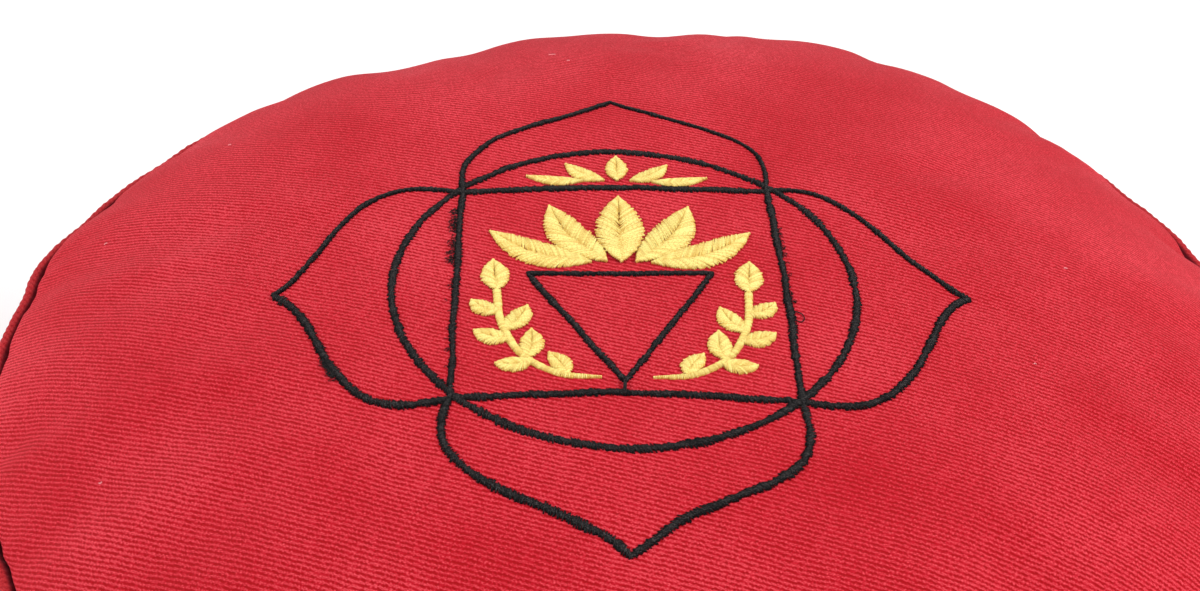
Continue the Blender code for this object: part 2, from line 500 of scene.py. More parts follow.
def wallPoints(share, turn):
    angle = pleatAngle(turn)
    bulge = np.sin(np.pi * share)
    depth = cover["pleatDepth"] + (cover["bellyPleatDepth"] - cover["pleatDepth"]) * bulge ** 3
    depth *= np.minimum(1, bulge / math.sin(math.pi * cover["pleatStart"])) ** 2
    mood = np.interp(turn % pleatCount, np.arange(pleatCount + 1), pleatMoods)
    depth *= 1 + cover["pleatUnevenness"] * mood
    roundScale, downScale = cover["swayScales"]
    places = zip(np.minimum(turn, pleatCount - turn) * roundScale, share * downScale)
    sway = np.array([noise.noise(Vector((x, y, cover["swaySeed"]))) for x, y in places])
    angle = angle + cover["pleatSway"] * sway * bulge
    radius = cover["seamRadius"] + cover["belly"] * bulge ** cover["bellyCurve"]
    radius += (1 - share) * swellAt(angle) - (1 - bulge) * pinchAt(angle) - depth * creaseAt(turn, bulge)
    return polar(radius, angle, topSeam + (bottomSeam - topSeam) * share)


def basePoints(share, turn):
    angle = panelAngle(share, turn)
    inward = np.clip((1 - share) / (1 - cover["footRadius"] / cover["seamRadius"]), 0, 1)
    radius = cover["seamRadius"] * share - pinchAt(angle) * (1 - inward) ** cover["pinchFade"]
    radius -= cover["baseTuck"] * share ** cover["baseTuckReach"]
    return polar(radius, angle, bottomSeam * (1 - inward) ** cover["baseCurve"])


def ribMap(flat):  # turns flat cloth into metres along and across its ribs, which bend a little
    x, y = flat[:, 0], flat[:, 1]
    across = y + clothMap["ribSlope"] * x - clothMap["ribBend"] * x ** 2 + clothMap["ribTwist"] * x ** 3
    return np.stack([x - clothMap["ribSlope"] * y, across], axis=-1)


def flatDisc(share, points, profile):  # the panel laid flat: arc length from the middle, same direction
    shares = np.linspace(0, 1, clothMap["arcPoints"])
    rise = profile(shares)
    steps = np.hypot(np.diff(shares) * cover["seamRadius"], np.diff(rise))
    arc = np.interp(share, shares, np.concatenate([[0], np.cumsum(steps)]))
    out = np.hypot(points[:, 0], points[:, 1])
    return points[:, :2] * (arc / np.maximum(out, tiny))[:, None]


def buildCover():
    size, rows = cover["gridSize"], cover["wallRows"]
    side, columns = size + 1, 4 * size
    share, turn = discGrid(size)
    atRim = share > 1 - tiny
    rim = sorted(np.flatnonzero(atRim), key=lambda i: turn[i])
    top = crownPoints(share, turn)
    base = basePoints(share, turn)
    steps = np.linspace(0, 1, rows + 1)[1:-1]
    crowdedSteps = 0.5 - 0.5 * np.cos(np.pi * steps)
    rowShares = cover["evenRows"] * steps + (1 - cover["evenRows"]) * crowdedSteps
    grid = np.meshgrid(rowShares, np.arange(columns) * pleatCount / columns, indexing="ij")
    wall = wallPoints(grid[0].ravel(), grid[1].ravel())
    wallStart, baseStart = len(top), len(top) + len(wall)
    flatTop = ribMap(flatDisc(share, top, crownRise))
    flatBase = ribMap(flatDisc(share, base, lambda s: crownRise(s) * clothMap["baseFlatness"]))
    flatBase = flatBase + clothMap["basePlace"]
    wallLength = 2 * math.pi * (cover["seamRadius"] + cover["belly"])
    wallHeight = clothMap["wallSlack"] * (topSeam - bottomSeam)

    def wallIndex(row, k):  # row 0 is the top seam and the last row is the bottom seam
        k %= columns
        if row == 0:
            return rim[k]
        if row == rows:
            return baseStart + rim[k]
        return wallStart + (row - 1) * columns + k

    def wallSpot(row, k):  # its place on the cloth's map
        along = crowded(k / columns * pleatCount) / pleatCount * wallLength
        return along + clothMap["wallPlace"][0], row / rows * wallHeight + clothMap["wallPlace"][1]

    faces, spots = [], []
    for i in range(size):
        for j in range(size):
            quad = (i * side + j, (i + 1) * side + j, (i + 1) * side + j + 1, i * side + j + 1)
            faces += [quad, [baseStart + v for v in reversed(quad)]]
            spots += [flatTop[v] for v in quad]
            spots += [flatBase[v] for v in reversed(quad)]
    for row in range(rows):
        for k in range(columns):
            corners = ((row, k), (row + 1, k), (row + 1, k + 1), (row, k + 1))
            faces.append([wallIndex(*corner) for corner in corners])
            spots += [wallSpot(*corner) for corner in corners]
    points = np.concatenate([top, wall, base]).tolist()
    # painted shade: the rim rings of both panels take the seam's dark colour
    piece = clothMesh("cover", points, faces, spots, np.concatenate([atRim, np.zeros(len(wall)), atRim]))
    ringShare = np.concatenate([share, np.zeros(len(wall)), share])
    zoneOfPoint = np.repeat([0, 1, 2], [len(top), len(wall), len(base)])  # top panel, wall and base panel
    rowOfPoint = np.concatenate([share * 0, np.repeat(rowShares, columns), share * 0 + 1])
    return piece, ringShare, zoneOfPoint, rowOfPoint


inflation = {
    "frames": 20,
    "cloth": {  # in Blender's own names
        "quality": 4,
        "mass": 0.25,
        "tension_stiffness": 18,
        "compression_stiffness": 18,
        "shear_stiffness": 6,
        "bending_stiffness": 0.4,
        "use_pressure": True,
        "uniform_pressure_force": 4.0,
        "shrink_min": -0.035,  # the cloth is cut a little larger than the fill, so it puckers
    },
    "footMargin": 0.02,  # of the seams' radius
    "levelRings": 60,  # the even swelling is in the shape already, so each ring loses its mean
    "panelCap": 0.9 * mm,
    "wallCap": 3.0 * mm,
    "rimHold": 14,  # a high power keeps the panels' edges even
}


def inflate(piece, ringShare, zone, row):
    mesh = piece.data
    rest = readVectors(mesh.vertices, "co")
    footShare = cover["footRadius"] / cover["seamRadius"] + inflation["footMargin"]
    flatFoot = (zone == 2) & (ringShare < footShare)
    seams = (zone != 1) & (ringShare > 1 - tiny)
    pinned = np.flatnonzero(flatFoot | seams)
    group = piece.vertex_groups.new(name="sewn")
    group.add(pinned.tolist(), 1.0, "REPLACE")
    cloth = piece.modifiers.new("Fill", "CLOTH")
    for name, value in inflation["cloth"].items():
        setattr(cloth.settings, name, value)
    cloth.settings.vertex_group_mass = group.name
    cloth.settings.effector_weights.gravity = 0
    cloth.collision_settings.use_collision = False
    cloth.point_cache.frame_end = inflation["frames"]
    scene = bpy.context.scene
    for number in range(1, inflation["frames"] + 1):
        scene.frame_set(number)
    made = piece.evaluated_get(bpy.context.evaluated_depsgraph_get()).to_mesh()
    moved = readVectors(made.vertices, "co")
    piece.modifiers.remove(cloth)
    piece.vertex_groups.remove(group)
    scene.frame_set(1)
    shift = moved - rest
    print("cloth moved at most", round(float(np.linalg.norm(shift, axis=1).max()) / mm, 1), "mm")
    outward = readVectors(mesh.vertices, "normal")
    for part, place in enumerate((ringShare, row, ringShare)):
        where = zone == part
        bins = np.round(place * inflation["levelRings"]).astype(int)
        for ring in np.unique(bins[where]):
            here = where & (bins == ring)
            even = float((shift[here] * outward[here]).sum(axis=1).mean())
            shift[here] -= outward[here] * even
    panelCap = inflation["panelCap"] * (1 - ringShare ** inflation["rimHold"])
    cap = np.where(zone == 1, inflation["wallCap"] * np.sqrt(np.sin(np.pi * row)), panelCap)
    size = np.maximum(np.linalg.norm(shift, axis=1), tiny)
    shift *= (cap * np.tanh(size / cap) / size)[:, None]
    shift[pinned] = 0
    mesh.vertices.foreach_set("co", (rest + shift).ravel())
    mesh.update()


puckers = {  # creases that run from a seam into the panel or the wall
    "seed": 12,
    "perPleat": 3,
    "spread": 5.0,  # degrees either side of a pinch
    "halfWidth": (0.55, 1.25),  # degrees
    "within": 12,  # degrees either side of a crease, and nothing moves further out
    "length": (9 * mm, 30 * mm),
    "depth": (0.25 * mm, 0.8 * mm),
    "fade": 0.6,
    "slope": 0.16,  # degrees for each mm, at most
    "wallShare": 1.9,  # how much deeper they are on the wall
    "wallStart": 0.12,
}


def pucker(piece):
    mesh = piece.data
    spots = readVectors(mesh.vertices, "co")
    normals = readVectors(mesh.vertices, "normal")
    angle = np.degrees(np.arctan2(spots[:, 1], spots[:, 0]))
    radius = np.hypot(spots[:, 0], spots[:, 1])
    fromTop = np.abs(spots[:, 2] - topSeam)
    fromBottom = np.abs(spots[:, 2] - bottomSeam)
    onTop = spots[:, 2] >= topSeam
    onWall = ~onTop & (spots[:, 2] > bottomSeam)
    inward = np.hypot(np.maximum(0, cover["seamRadius"] - radius), np.where(onTop, fromTop, fromBottom))
    draw = random.Random(puckers["seed"])
    sink = np.zeros(len(spots))
    onPanel, wall = (1.0, 0.0), (puckers["wallShare"], puckers["wallStart"])
    regions = ((onTop, inward, *onPanel), (onWall, fromTop, *wall), (onWall, fromBottom, *wall),
               (~onTop & ~onWall, inward, *onPanel))
    for where, distance, strength, start in regions:
        for pinch in np.repeat(pinchAngles[:-1], puckers["perPleat"]):
            centre = pinch + draw.uniform(-1, 1) * puckers["spread"]
            width = draw.uniform(*puckers["halfWidth"])
            reach = draw.uniform(*puckers["length"])
            depth = draw.uniform(*puckers["depth"]) * strength
            slope = draw.uniform(-1, 1) * puckers["slope"] / mm
            near = where & (distance < reach) & (np.abs(wrapped(angle - centre)) < puckers["within"])
            away = wrapped(angle[near] - centre - slope * distance[near])
            along = distance[near] / reach
            profile = np.sin(np.pi * np.minimum(1, along + start) ** puckers["fade"])
            sink[near] += depth * np.exp(-(away / (width * (1 + along))) ** 2) * profile
    spots -= normals * sink[:, None]
    spots[:, 2] = np.maximum(spots[:, 2], 0)
    mesh.vertices.foreach_set("co", spots.ravel())
    mesh.update()


coverPiece, ringShare, zoneOfPoint, rowOfPoint = buildCover()
inflate(coverPiece, ringShare, zoneOfPoint, rowOfPoint)
smoothing = coverPiece.modifiers.new("Smooth", "SUBSURF")
smoothing.levels = smoothing.render_levels = 1
coverPiece = plainCopy(coverPiece, "cushionCover")
pucker(coverPiece)
coverPiece.data.shade_smooth()
coverPiece.data.materials.append(redCotton)
print("cover", len(coverPiece.data.polygons), "faces")


# the piping: a cloth-covered cord in each seam

piping = {
    "radius": 2.3 * mm,
    "proud": 2.0 * mm,
    "columns": 1600,
    "sides": 16,
    "wrinkleLength": 2.7 * mm,
    "wrinkle": 0.11 * mm,
    "wrinkleScale": 19,  # the scales are for noise round a circle of radius 1
    "wrinkleBend": 2,
    "roughness": 0.12 * mm,
    "roughScale": 60,
    "roughTurn": 0.9,
    "wander": 0.15 * mm,
    "wanderScale": 14,
    "openCosine": 0.0,  # painted shade darkens the cord from here inwards, on its side that faces into the seam
    "shadeSpan": 0.42,
    "mapPlace": 4,  # metres along the cloth's map, where the ribs run slantwise over the cord
    "mapSlant": 0.707,
}


def buildPiping(name, height, swell):
    columns, sides, slant = piping["columns"], piping["sides"], piping["mapSlant"]
    angle = np.arange(columns) * 360 / columns
    radius = cover["seamRadius"] + piping["proud"] + swell * swellAt(angle) - pinchAt(angle)
    length = 2 * math.pi * cover["seamRadius"]
    girth = 2 * math.pi * piping["radius"]
    wrinkles = round(length / piping["wrinkleLength"])
    points, shades, faces, spots = [], [], [], []
    for k in range(columns):
        turn = math.radians(angle[k])
        around = Vector((math.cos(turn), math.sin(turn), 0))
        wander = noise.noise(around * piping["wanderScale"]) * piping["wander"]
        phase = 2 * math.pi * k / columns * wrinkles
        bend = piping["wrinkleBend"] * noise.noise(around * piping["wrinkleScale"])
        rough = around * piping["roughScale"]
        for j in range(sides):
            roll = 2 * math.pi * j / sides
            rough.z = piping["roughTurn"] * math.sin(roll)
            thick = piping["radius"] + piping["wrinkle"] * math.sin(phase + roll + bend)
            thick += piping["roughness"] * noise.noise(rough)
            point = around * (radius[k] + wander + thick * math.cos(roll))
            point.z = height + thick * math.sin(roll)
            points.append(point)
            # painted shade: the cord's colour turns to the seam's dark colour where it faces into the seam
            shades.append(min(1, max(0, (piping["openCosine"] - math.cos(roll)) / piping["shadeSpan"])))
            corners = ((k, j), (k + 1, j), (k + 1, j + 1), (k, j + 1))
            faces.append([a % columns * sides + b % sides for a, b in corners])
            for a, b in corners:
                x, y = a / columns * length, b / sides * girth
                spots.append(((x + y) * slant + piping["mapPlace"], (x - y) * slant))
    piece = clothMesh(name, points, faces, spots, shades)
    piece.data.shade_smooth()
    piece.data.materials.append(pipingCotton)
    return piece


pipingPieces = {
    "piping_top": buildPiping("pipingTop", topSeam, 1.0),
    "piping_bottom": buildPiping("pipingBottom", bottomSeam, 0.0),
}
print("piping ready")


# the embroidery: strokes are drawn flat on the panel, laid on the cloth, and filled with stitches

design = {
    "middle": (-9.9, -12.4),  # mm from the crown's centre
    "turn": math.radians(3.2),
    "guideStep": 2.0,  # mm
    "sampleLength": 0.8,
    "wobbleScale": 0.11,  # noise scales, per mm
    "lumpScale": 0.24,
    "lumpiness": 0.29,
    "endShare": 0.45,  # how wide a line starts and ends, of its full width
    "endGrowth": 0.4,
    "spacing": 0.5,  # mm between the points of leaves and stems
}
clothTree = BVHTree.FromObject(coverPiece, bpy.context.evaluated_depsgraph_get())


def onCloth(u, v):  # the point and normal of the cloth under a place of the design, given in mm
    cosine, sine = math.cos(design["turn"]), math.sin(design["turn"])
    x = design["middle"][0] + u * cosine - v * sine
    y = design["middle"][1] + u * sine + v * cosine
    spot, normal, _, _ = clothTree.ray_cast(Vector((x * mm, y * mm, 1)), Vector((0, 0, -1)))
    return spot, normal


# a line on the flat panel, in mm: its points as vectors, and its half width at each of them
Stroke = collections.namedtuple("Stroke", "points halfWidths layer slant", defaults=(0.0,))


def smoothLine(points, steps=10):  # a Catmull-Rom line through the points
    points = [Vector(point) for point in points]
    points = [2 * points[0] - points[1]] + points + [2 * points[-1] - points[-2]]
    line = []
    for a, b, c, d in zip(points, points[1:], points[2:], points[3:]):
        for k in range(steps):
            t = k / steps
            line.append(0.5 * (2 * b + (c - a) * t + (2 * a - 5 * b + 4 * c - d) * t * t
                               + (3 * b - a - 3 * c + d) * t ** 3))
    line.append(points[-2])
    return line


def evenly(points, step):  # the same line with its points a step apart
    lengths = [0.0]
    for a, b in zip(points, points[1:]):
        lengths.append(lengths[-1] + (b - a).length)
    stops = np.linspace(0, lengths[-1], max(2, int(lengths[-1] / step)) + 1)
    x, y = (np.interp(stops, lengths, values) for values in zip(*points))
    return [Vector(pair) for pair in zip(x, y)]


def wobbled(points, amount, seed):  # hand-guided hoops leave the lines a little uneven
    made = []
    for point in points:
        x, y = point.x * design["wobbleScale"], point.y * design["wobbleScale"]
        drift = [noise.noise(Vector((x, y, seed + k))) for k in (0, 9)]
        made.append(point + Vector(drift) * amount)
    return made


def lineStroke(points, halfWidth, layer, seed, wobble=0.4):
    guide = wobbled(evenly(points, design["guideStep"]), wobble, seed)
    points = evenly(guide, design["sampleLength"])
    last = len(points) - 1
    widths = []
    for i, point in enumerate(points):
        end = min(1.0, design["endShare"] + design["endGrowth"] * min(i, last - i))
        x, y = point.x * design["lumpScale"], point.y * design["lumpScale"]
        lump = 1 + design["lumpiness"] * noise.noise(Vector((x, y, seed + 30)))
        ahead = (points[min(i + 1, last)] - points[max(i - 1, 0)]).normalized()
        pull = 1 + outline["pull"] * (ahead.x ** 2 - ahead.y ** 2)
        widths.append(halfWidth * end * lump * pull)
    return Stroke(points, widths, layer, outline["slant"])


def strokeMesh(name, strokes):  # the strokes' middle lines on the cloth, with what each stitch needs
    spots, normals, widths, slants, edges = [], [], [], [], []
    for stroke in strokes:
        start = len(spots)
        for point, halfWidth in zip(stroke.points, stroke.halfWidths):
            spot, normal = onCloth(point.x, point.y)
            spots.append(spot + normal * stroke.layer * mm)
            normals.append(normal)
            widths.append(halfWidth * mm)
            slants.append(stroke.slant)
        edges += [(i, i + 1) for i in range(start, len(spots) - 1)]
    mesh = bpy.data.meshes.new(name)
    mesh.from_pydata(spots, edges, [])
    writeValues(mesh, "clothNormal", normals, "FLOAT_VECTOR", "vector")
    writeValues(mesh, "halfWidth", widths)
    writeValues(mesh, "slant", slants)
    return linkPiece(name, mesh)


satinStitch = {  # one stitch reaches from -1 to 1 across its line before it is scaled
    "points": 8,
    "sides": 5,
    "archPower": 2.6,
    "taper": 0.75,  # how much thinner the thread is at both ends
    "taperPower": 3,
    "lean": 0.6,  # radians at most, times the raggedness
    "widths": (0.93, 1.07),
    "heights": (0.93, 1.06),
}


def stitchTree():  # satin stitches side by side along a line
    tree = bpy.data.node_groups.new("satinStitches", "GeometryNodeTree")
    face = tree.interface
    face.new_socket("Geometry", in_out="INPUT", socket_type="NodeSocketGeometry")
    inputs = (("Pitch", "Float", 0.5 * mm), ("Thread Radius", "Float", 0.3 * mm),
              ("Rise", "Float", 0.7 * mm), ("Raggedness", "Float", 0.1), ("Seed", "Int", 1))
    for label, kind, value in inputs:
        face.new_socket(label, in_out="INPUT", socket_type="NodeSocket" + kind).default_value = value
    face.new_socket("Yarn", in_out="INPUT", socket_type="NodeSocketMaterial")
    face.new_socket("Geometry", in_out="OUTPUT", socket_type="NodeSocketGeometry")
    sheet = NodeSheet(tree)
    given = sheet.node("NodeGroupInput")

    def step(kind, sockets=None, settings=None):
        return sheet.node("GeometryNode" + kind, settings, sockets)

    def varied(low, high, seed):
        sockets = {2: low, 3: high, "ID": index, "Seed": given.other("Seed") + seed}
        return sheet.node("FunctionNodeRandomValue", {"data_type": "FLOAT"}, sockets, 1)

    def named(label, kind="FLOAT"):
        return step("InputNamedAttribute", {"Name": label}, {"data_type": kind})

    def store(geometry, domain, label, value):
        sockets = {"Geometry": geometry, "Name": label, "Value": value}
        return step("StoreNamedAttribute", sockets, {"data_type": "FLOAT", "domain": domain})

    index = step("InputIndex")
    raggedness = given.other("Raggedness")
    line = step("MeshToCurve", {0: given})
    line = step("ResampleCurve", {"Curve": line, "Length": given.other("Pitch")}, {"mode": "LENGTH"})
    bar = step("CurvePrimitiveLine", {"Start": (0, -1, 0), "End": (0, 1, 0)})
    bar = step("ResampleCurve", {"Curve": bar, "Count": satinStitch["points"]}, {"mode": "COUNT"})
    place = sheet.node("ShaderNodeSeparateXYZ", None, {0: step("InputPosition")}, 1)
    bar = store(bar, "POINT", "across", place)
    arch = given.other("Rise") * (1 - abs(place) ** satinStitch["archPower"])
    taper = 1 - satinStitch["taper"] * abs(place) ** satinStitch["taperPower"]
    bar = step("SetPosition", {"Geometry": bar, "Offset": sheet.vector(z=arch)})
    bar = step("SetCurveRadius", {"Curve": bar, "Radius": taper})
    ring = {"Resolution": satinStitch["sides"], "Radius": given.other("Thread Radius")}
    ring = step("CurvePrimitiveCircle", ring)
    bar = step("CurveToMesh", {"Curve": bar, "Profile Curve": ring, "Fill Caps": True})
    bar = step("SetShadeSmooth", {"Geometry": bar})
    lie = sheet.node("FunctionNodeAxesToRotation", {"primary_axis": "Z", "secondary_axis": "X"},
                     {0: named("clothNormal", "FLOAT_VECTOR"), 1: step("InputTangent")})
    lean = named("slant") + varied(-satinStitch["lean"], satinStitch["lean"], 3) * raggedness
    lean = sheet.node("FunctionNodeEulerToRotation", None, {0: sheet.vector(z=lean)})
    lie = sheet.node("FunctionNodeRotateRotation", {"rotation_space": "LOCAL"}, {0: lie, 1: lean})
    reach = named("halfWidth") * (1 + raggedness * varied(-1.0, 1.0, 5))
    reach = reach / sheet.maths("COSINE", named("slant"))
    size = sheet.vector(varied(*satinStitch["widths"], 7), reach, varied(*satinStitch["heights"], 11))
    laid = step("InstanceOnPoints", {"Points": line, "Instance": bar, "Rotation": lie, "Scale": size})
    laid = store(laid, "INSTANCE", "tone", varied(0.0, 1.0, 13))
    real = step("RealizeInstances", {0: laid})
    real = step("SetMaterial", {"Geometry": real, "Material": given.other("Yarn")})
    sheet.node("NodeGroupOutput", None, {0: real})
    return tree


satin = stitchTree()


def sew(name, strokes, yarn, settings):  # fills the strokes with stitches, as one plain mesh
    guide = strokeMesh(name + "Guide", strokes)
    modifier = guide.modifiers.new("Stitches", "NODES")
    modifier.node_group = satin
    sockets = {item.name: item.identifier for item in satin.interface.items_tree if item.in_out == "INPUT"}
    for label, value in settings.items():
        modifier[sockets[label]] = value
    modifier[sockets["Yarn"]] = yarn
    piece = plainCopy(guide, name)
    print(name, len(piece.data.polygons), "faces")
    return piece


lineStitches = {
    "Pitch": 0.29 * mm,
    "Thread Radius": 0.17 * mm,
    "Rise": 0.34 * mm,
    "Raggedness": 0.33,
    "Seed": 3,
}
fillStitches = {
    "Pitch": 0.42 * mm,
    "Thread Radius": 0.22 * mm,
    "Rise": 0.42 * mm,
    "Raggedness": 0.12,
    "Seed": 8,
}

outline = {  # in mm, from the design's middle
    "circle": {"halfWidth": 55.5, "halfHeight": 57.4, "right": 0.45, "up": 0.7},
    "corners": ((38.0, 40.5), (-39.1, 39.0), (-40.0, -40.4), (39.0, -41.0)),  # the top right one first
    "sideBow": (1.8, -0.2, 1.6, 0.7),  # how far the top, left, bottom and right sides bow up or right
    "triangle": ((-22.8, 4.4), (22.0, 5.5), (-0.5, -35.4)),
    "petals": (  # right, top, left, bottom: two handles for each half, as (out, across), and the tip
        ((((60.4, 46.8), (66.8, 9.8)), ((69.6, 51.2), (71.4, 3.2))), (83.9, 0.0)),
        ((((68.5, 42.5), (68.0, 18.8)), ((72.9, 42.1), (67.6, 21.2))), (85.0, 0.6)),
        ((((69.9, 52.7), (68.0, 11.3)), ((71.6, 50.1), (69.3, 10.5))), (83.4, 0.1)),
        ((((73.2, 45.2), (63.8, 19.0)), ((68.0, 48.4), (67.0, 18.6))), (86.5, -0.5)),
    ),
    "circleHalfWidth": 1.00,  # the half widths are those of the satin lines
    "sideHalfWidths": (1.00, 0.86, 0.86, 0.94),
    "triangleHalfWidths": (0.74, 0.76, 0.88),
    "petalHalfWidths": ((0.84, 0.97), (0.80, 0.64), (1.00, 0.79), (0.97, 1.00)),
    "pull": 0.13,  # stitches that run along the ribs draw in, so upright lines come out narrower
    "slant": 0.5,  # radians
}


def circleStrokes():
    ring = outline["circle"]
    points = []
    for degrees in range(0, 361, 3):
        turn = math.radians(degrees)
        x = ring["right"] + ring["halfWidth"] * math.cos(turn)
        points.append(Vector((x, ring["up"] + ring["halfHeight"] * math.sin(turn))))
    return [lineStroke(points, outline["circleHalfWidth"], layer=0.0, seed=1.0, wobble=0.3)]


def squareStrokes():
    corners = [Vector(corner) for corner in outline["corners"]]
    strokes = []
    for i, bow in enumerate(outline["sideBow"]):
        a, b = corners[i], corners[(i + 1) % 4]
        push = Vector((0, bow)) if i % 2 == 0 else Vector((bow, 0))
        line = smoothLine([a, (a + b) / 2 + push, b])
        strokes.append(lineStroke(line, outline["sideHalfWidths"][i], layer=0.05, seed=20.0 + i))
    return strokes


def triangleStrokes():
    corners = [Vector(corner) for corner in outline["triangle"]]
    sides = zip(corners, corners[1:] + corners[:1], outline["triangleHalfWidths"])
    return [lineStroke([a, b], halfWidth, layer=0.05, seed=30.0 + i, wobble=0.3)
            for i, (a, b, halfWidth) in enumerate(sides)]


def bezier(points, count=40):
    line = []
    for k in range(count + 1):
        t = k / count
        a, b, c, d = (1 - t) ** 3, 3 * (1 - t) ** 2 * t, 3 * (1 - t) * t * t, t ** 3
        line.append(a * points[0] + b * points[1] + c * points[2] + d * points[3])
    return line


def petalStrokes():
    strokes = []
    for quarter, (halves, tip) in enumerate(outline["petals"]):
        spin = Matrix.Rotation(math.pi / 2 * quarter, 2)
        for side, half, halfWidth in zip((1, -1), halves, outline["petalHalfWidths"][quarter]):
            start = Vector(outline["corners"][(quarter if side > 0 else quarter - 1) % 4])
            handles = [spin @ Vector((out, across * side)) for out, across in half]
            line = bezier([start, *handles, spin @ Vector(tip)])
            strokes.append(lineStroke(line, halfWidth, layer=0.1, seed=40.0 + quarter * 2 + side))
    return strokes


ornament = {  # leaves in gold: base, tip, width and bend in mm, and how high they lie
    "lotus": (  # the first leaf stands in the middle, and each other one has a twin on the left
        ((0.0, 9.0), (0.0, 36.5), 11.6, 0.0, 0.45),
        ((3.6, 9.4), (17.4, 32.4), 10.2, 2.2, 0.3),
        ((7.4, 9.2), (32.0, 21.5), 9.4, 2.8, 0.15),
    ),
    "bud": (
        ((0.0, 44.4), (0.0, 55.4), 5.6, 0.0, 0.15),
        ((3.4, 44.4), (13.0, 51.6), 5.0, 1.0, 0.15),
        ((9.0, 44.0), (23.0, 46.0), 3.8, 0.9, 0.15),
    ),
    "stem": ((6.0, -34.0), (15.5, -32.6), (24.0, -26.0), (28.8, -14.5), (30.0, -2.5)),
    "stemHalfWidth": 0.95,
    "stemStart": 0.25,  # of its width, which then grows from point to point
    "stemGrowth": 0.05,
    "leafLean": math.radians(48),
    "leafBend": -0.6,
    "innerLeaves": ((0.16, 8.8, 5.0), (0.42, 10.4, 5.6), (0.68, 10.4, 5.6)),  # stem share, length and width
    "outerLeaves": ((0.38, 8.4, 5.0), (0.60, 8.8, 5.4), (0.82, 8.0, 5.2)),
    "topLeaf": (12.0, 6.8),
    "slant": math.radians(38),
    "widestPlace": 0.42,  # of a leaf's length
    "leafFullness": 0.85,  # under 1 makes a leaf rounder
    "midribOverlap": 0.22,
}


def leafStrokes(base, tip, width, bend, layer=0.15):  # two slanted halves either side of a midrib
    base, tip = Vector(base), Vector(tip)
    side = Vector(((tip - base).y, -(tip - base).x)).normalized()
    middle = evenly(smoothLine([base, (base + tip) / 2 + side * bend, tip]), design["spacing"])
    count = len(middle) - 1
    widest, overlap = ornament["widestPlace"], ornament["midribOverlap"]
    strokes = []
    for hand in (1, -1):
        points, widths = [], []
        for i, point in enumerate(middle):
            grow = np.interp(i / count, (0, widest, 1), (0, 0.5, 1))
            full = math.sin(math.pi * grow) ** ornament["leafFullness"] * width / 2
            ahead = middle[min(count, i + 1)] - middle[max(0, i - 1)]
            out = Vector((ahead.y, -ahead.x)).normalized() * hand
            points.append(point + out * (full - overlap) / 2)
            widths.append((full + overlap) / 2)
        strokes.append(Stroke(points, widths, layer, ornament["slant"] * hand))
    return strokes


def mirroredLeaves(leaves):
    strokes = leafStrokes(*leaves[0])
    for base, tip, width, bend, layer in leaves[1:]:
        for hand in (1, -1):
            twin = [(x * hand, y) for x, y in (base, tip)]
            strokes += leafStrokes(*twin, width, bend * hand, layer)
    return strokes


def sprayStrokes(hand):  # a stem with leaves on both sides, to one side of the triangle
    stem = evenly(smoothLine([(x * hand, y) for x, y in ornament["stem"]]), design["spacing"])
    widths = [ornament["stemHalfWidth"] * min(1, ornament["stemStart"] + ornament["stemGrowth"] * i)
              for i in range(len(stem))]
    strokes = [Stroke(stem, widths, 0.1)]
    for turn, leaves in ((hand, ornament["innerLeaves"]), (-hand, ornament["outerLeaves"])):
        for place, length, width in leaves:
            i = int(place * (len(stem) - 3)) + 1
            ahead = (stem[i + 1] - stem[i - 1]).normalized()
            lean = Matrix.Rotation(ornament["leafLean"] * turn, 2) @ ahead
            strokes += leafStrokes(stem[i], stem[i] + lean * length, width, ornament["leafBend"] * turn)
    ahead = (stem[-1] - stem[-3]).normalized()
    length, width = ornament["topLeaf"]
    return strokes + leafStrokes(stem[-1], stem[-1] + ahead * length, width, 0.0)


embroidery = {}
for name, strokes, seed in (
        ("circleThread", circleStrokes(), 3), ("squareThread", squareStrokes(), 5),
        ("triangleThread", triangleStrokes(), 6), ("petalThread", petalStrokes(), 7)):
    embroidery[name] = sew(name, strokes, blackYarn, {**lineStitches, "Seed": seed})
for name, strokes in (
        ("goldLotus", mirroredLeaves(ornament["lotus"])), ("goldBud", mirroredLeaves(ornament["bud"])),
        ("goldSprays", sprayStrokes(1) + sprayStrokes(-1))):
    embroidery[name] = sew(name, strokes, goldYarn, fillStitches)


# loose ends: tufts and a jump of black thread, and bits of pale lint, placed in the design's mm

looseEnds = {
    "seed": 4,
    "radius": 0.08 * mm,
    "fringes": (  # from, to, how many loops lie between, and their size
        ((-40.8, 31.0), (-41.3, 8.0), 80, 1.0),
        ((40.0, 24.0), (40.5, -6.0), 30, 0.6),
        ((-69.4, -26.6), (-66.2, -33.0), 60, 1.0),
        ((-40.9, 4.0), (-41.2, -34.0), 14, 0.8),
    ),
    "scatter": 0.7,
    "loopSize": (0.35, 0.95),
    "loopSweep": (1.8, 5.4),  # radians
    "loopSteps": 7,
    "loopFlatness": 0.7,
    "loopHeight": 0.4,
    "curl": ((38.6, -9.4), (40.3, -9.2), (41.9, -10.0), (42.4, -11.8),
             (41.6, -13.1), (40.4, -12.4), (40.6, -11.2)),
    "curlSteps": 5,
    "curlRadius": 0.13 * mm,
    "curlHeight": 0.15,
    "jump": ((-0.6, -34.6), (-0.7, -37.2), (-0.9, -40.2)),
    "jumpStep": 0.6,
    "jumpRadius": 0.42 * mm,
    "jumpHeight": 0.35,
    "lint": (  # place and length
        (-15.9, 117.7, 1.9), (-11.4, 112.0, 0.7), (-103.1, 79.2, 0.7), (-131.6, 44.5, 0.8),
        (111.8, 18.8, 0.9), (96.0, -22.0, 0.6), (-118.0, -48.0, 0.7),
    ),
    "lintBend": 0.3,
    "lintRadius": 0.13 * mm,
}
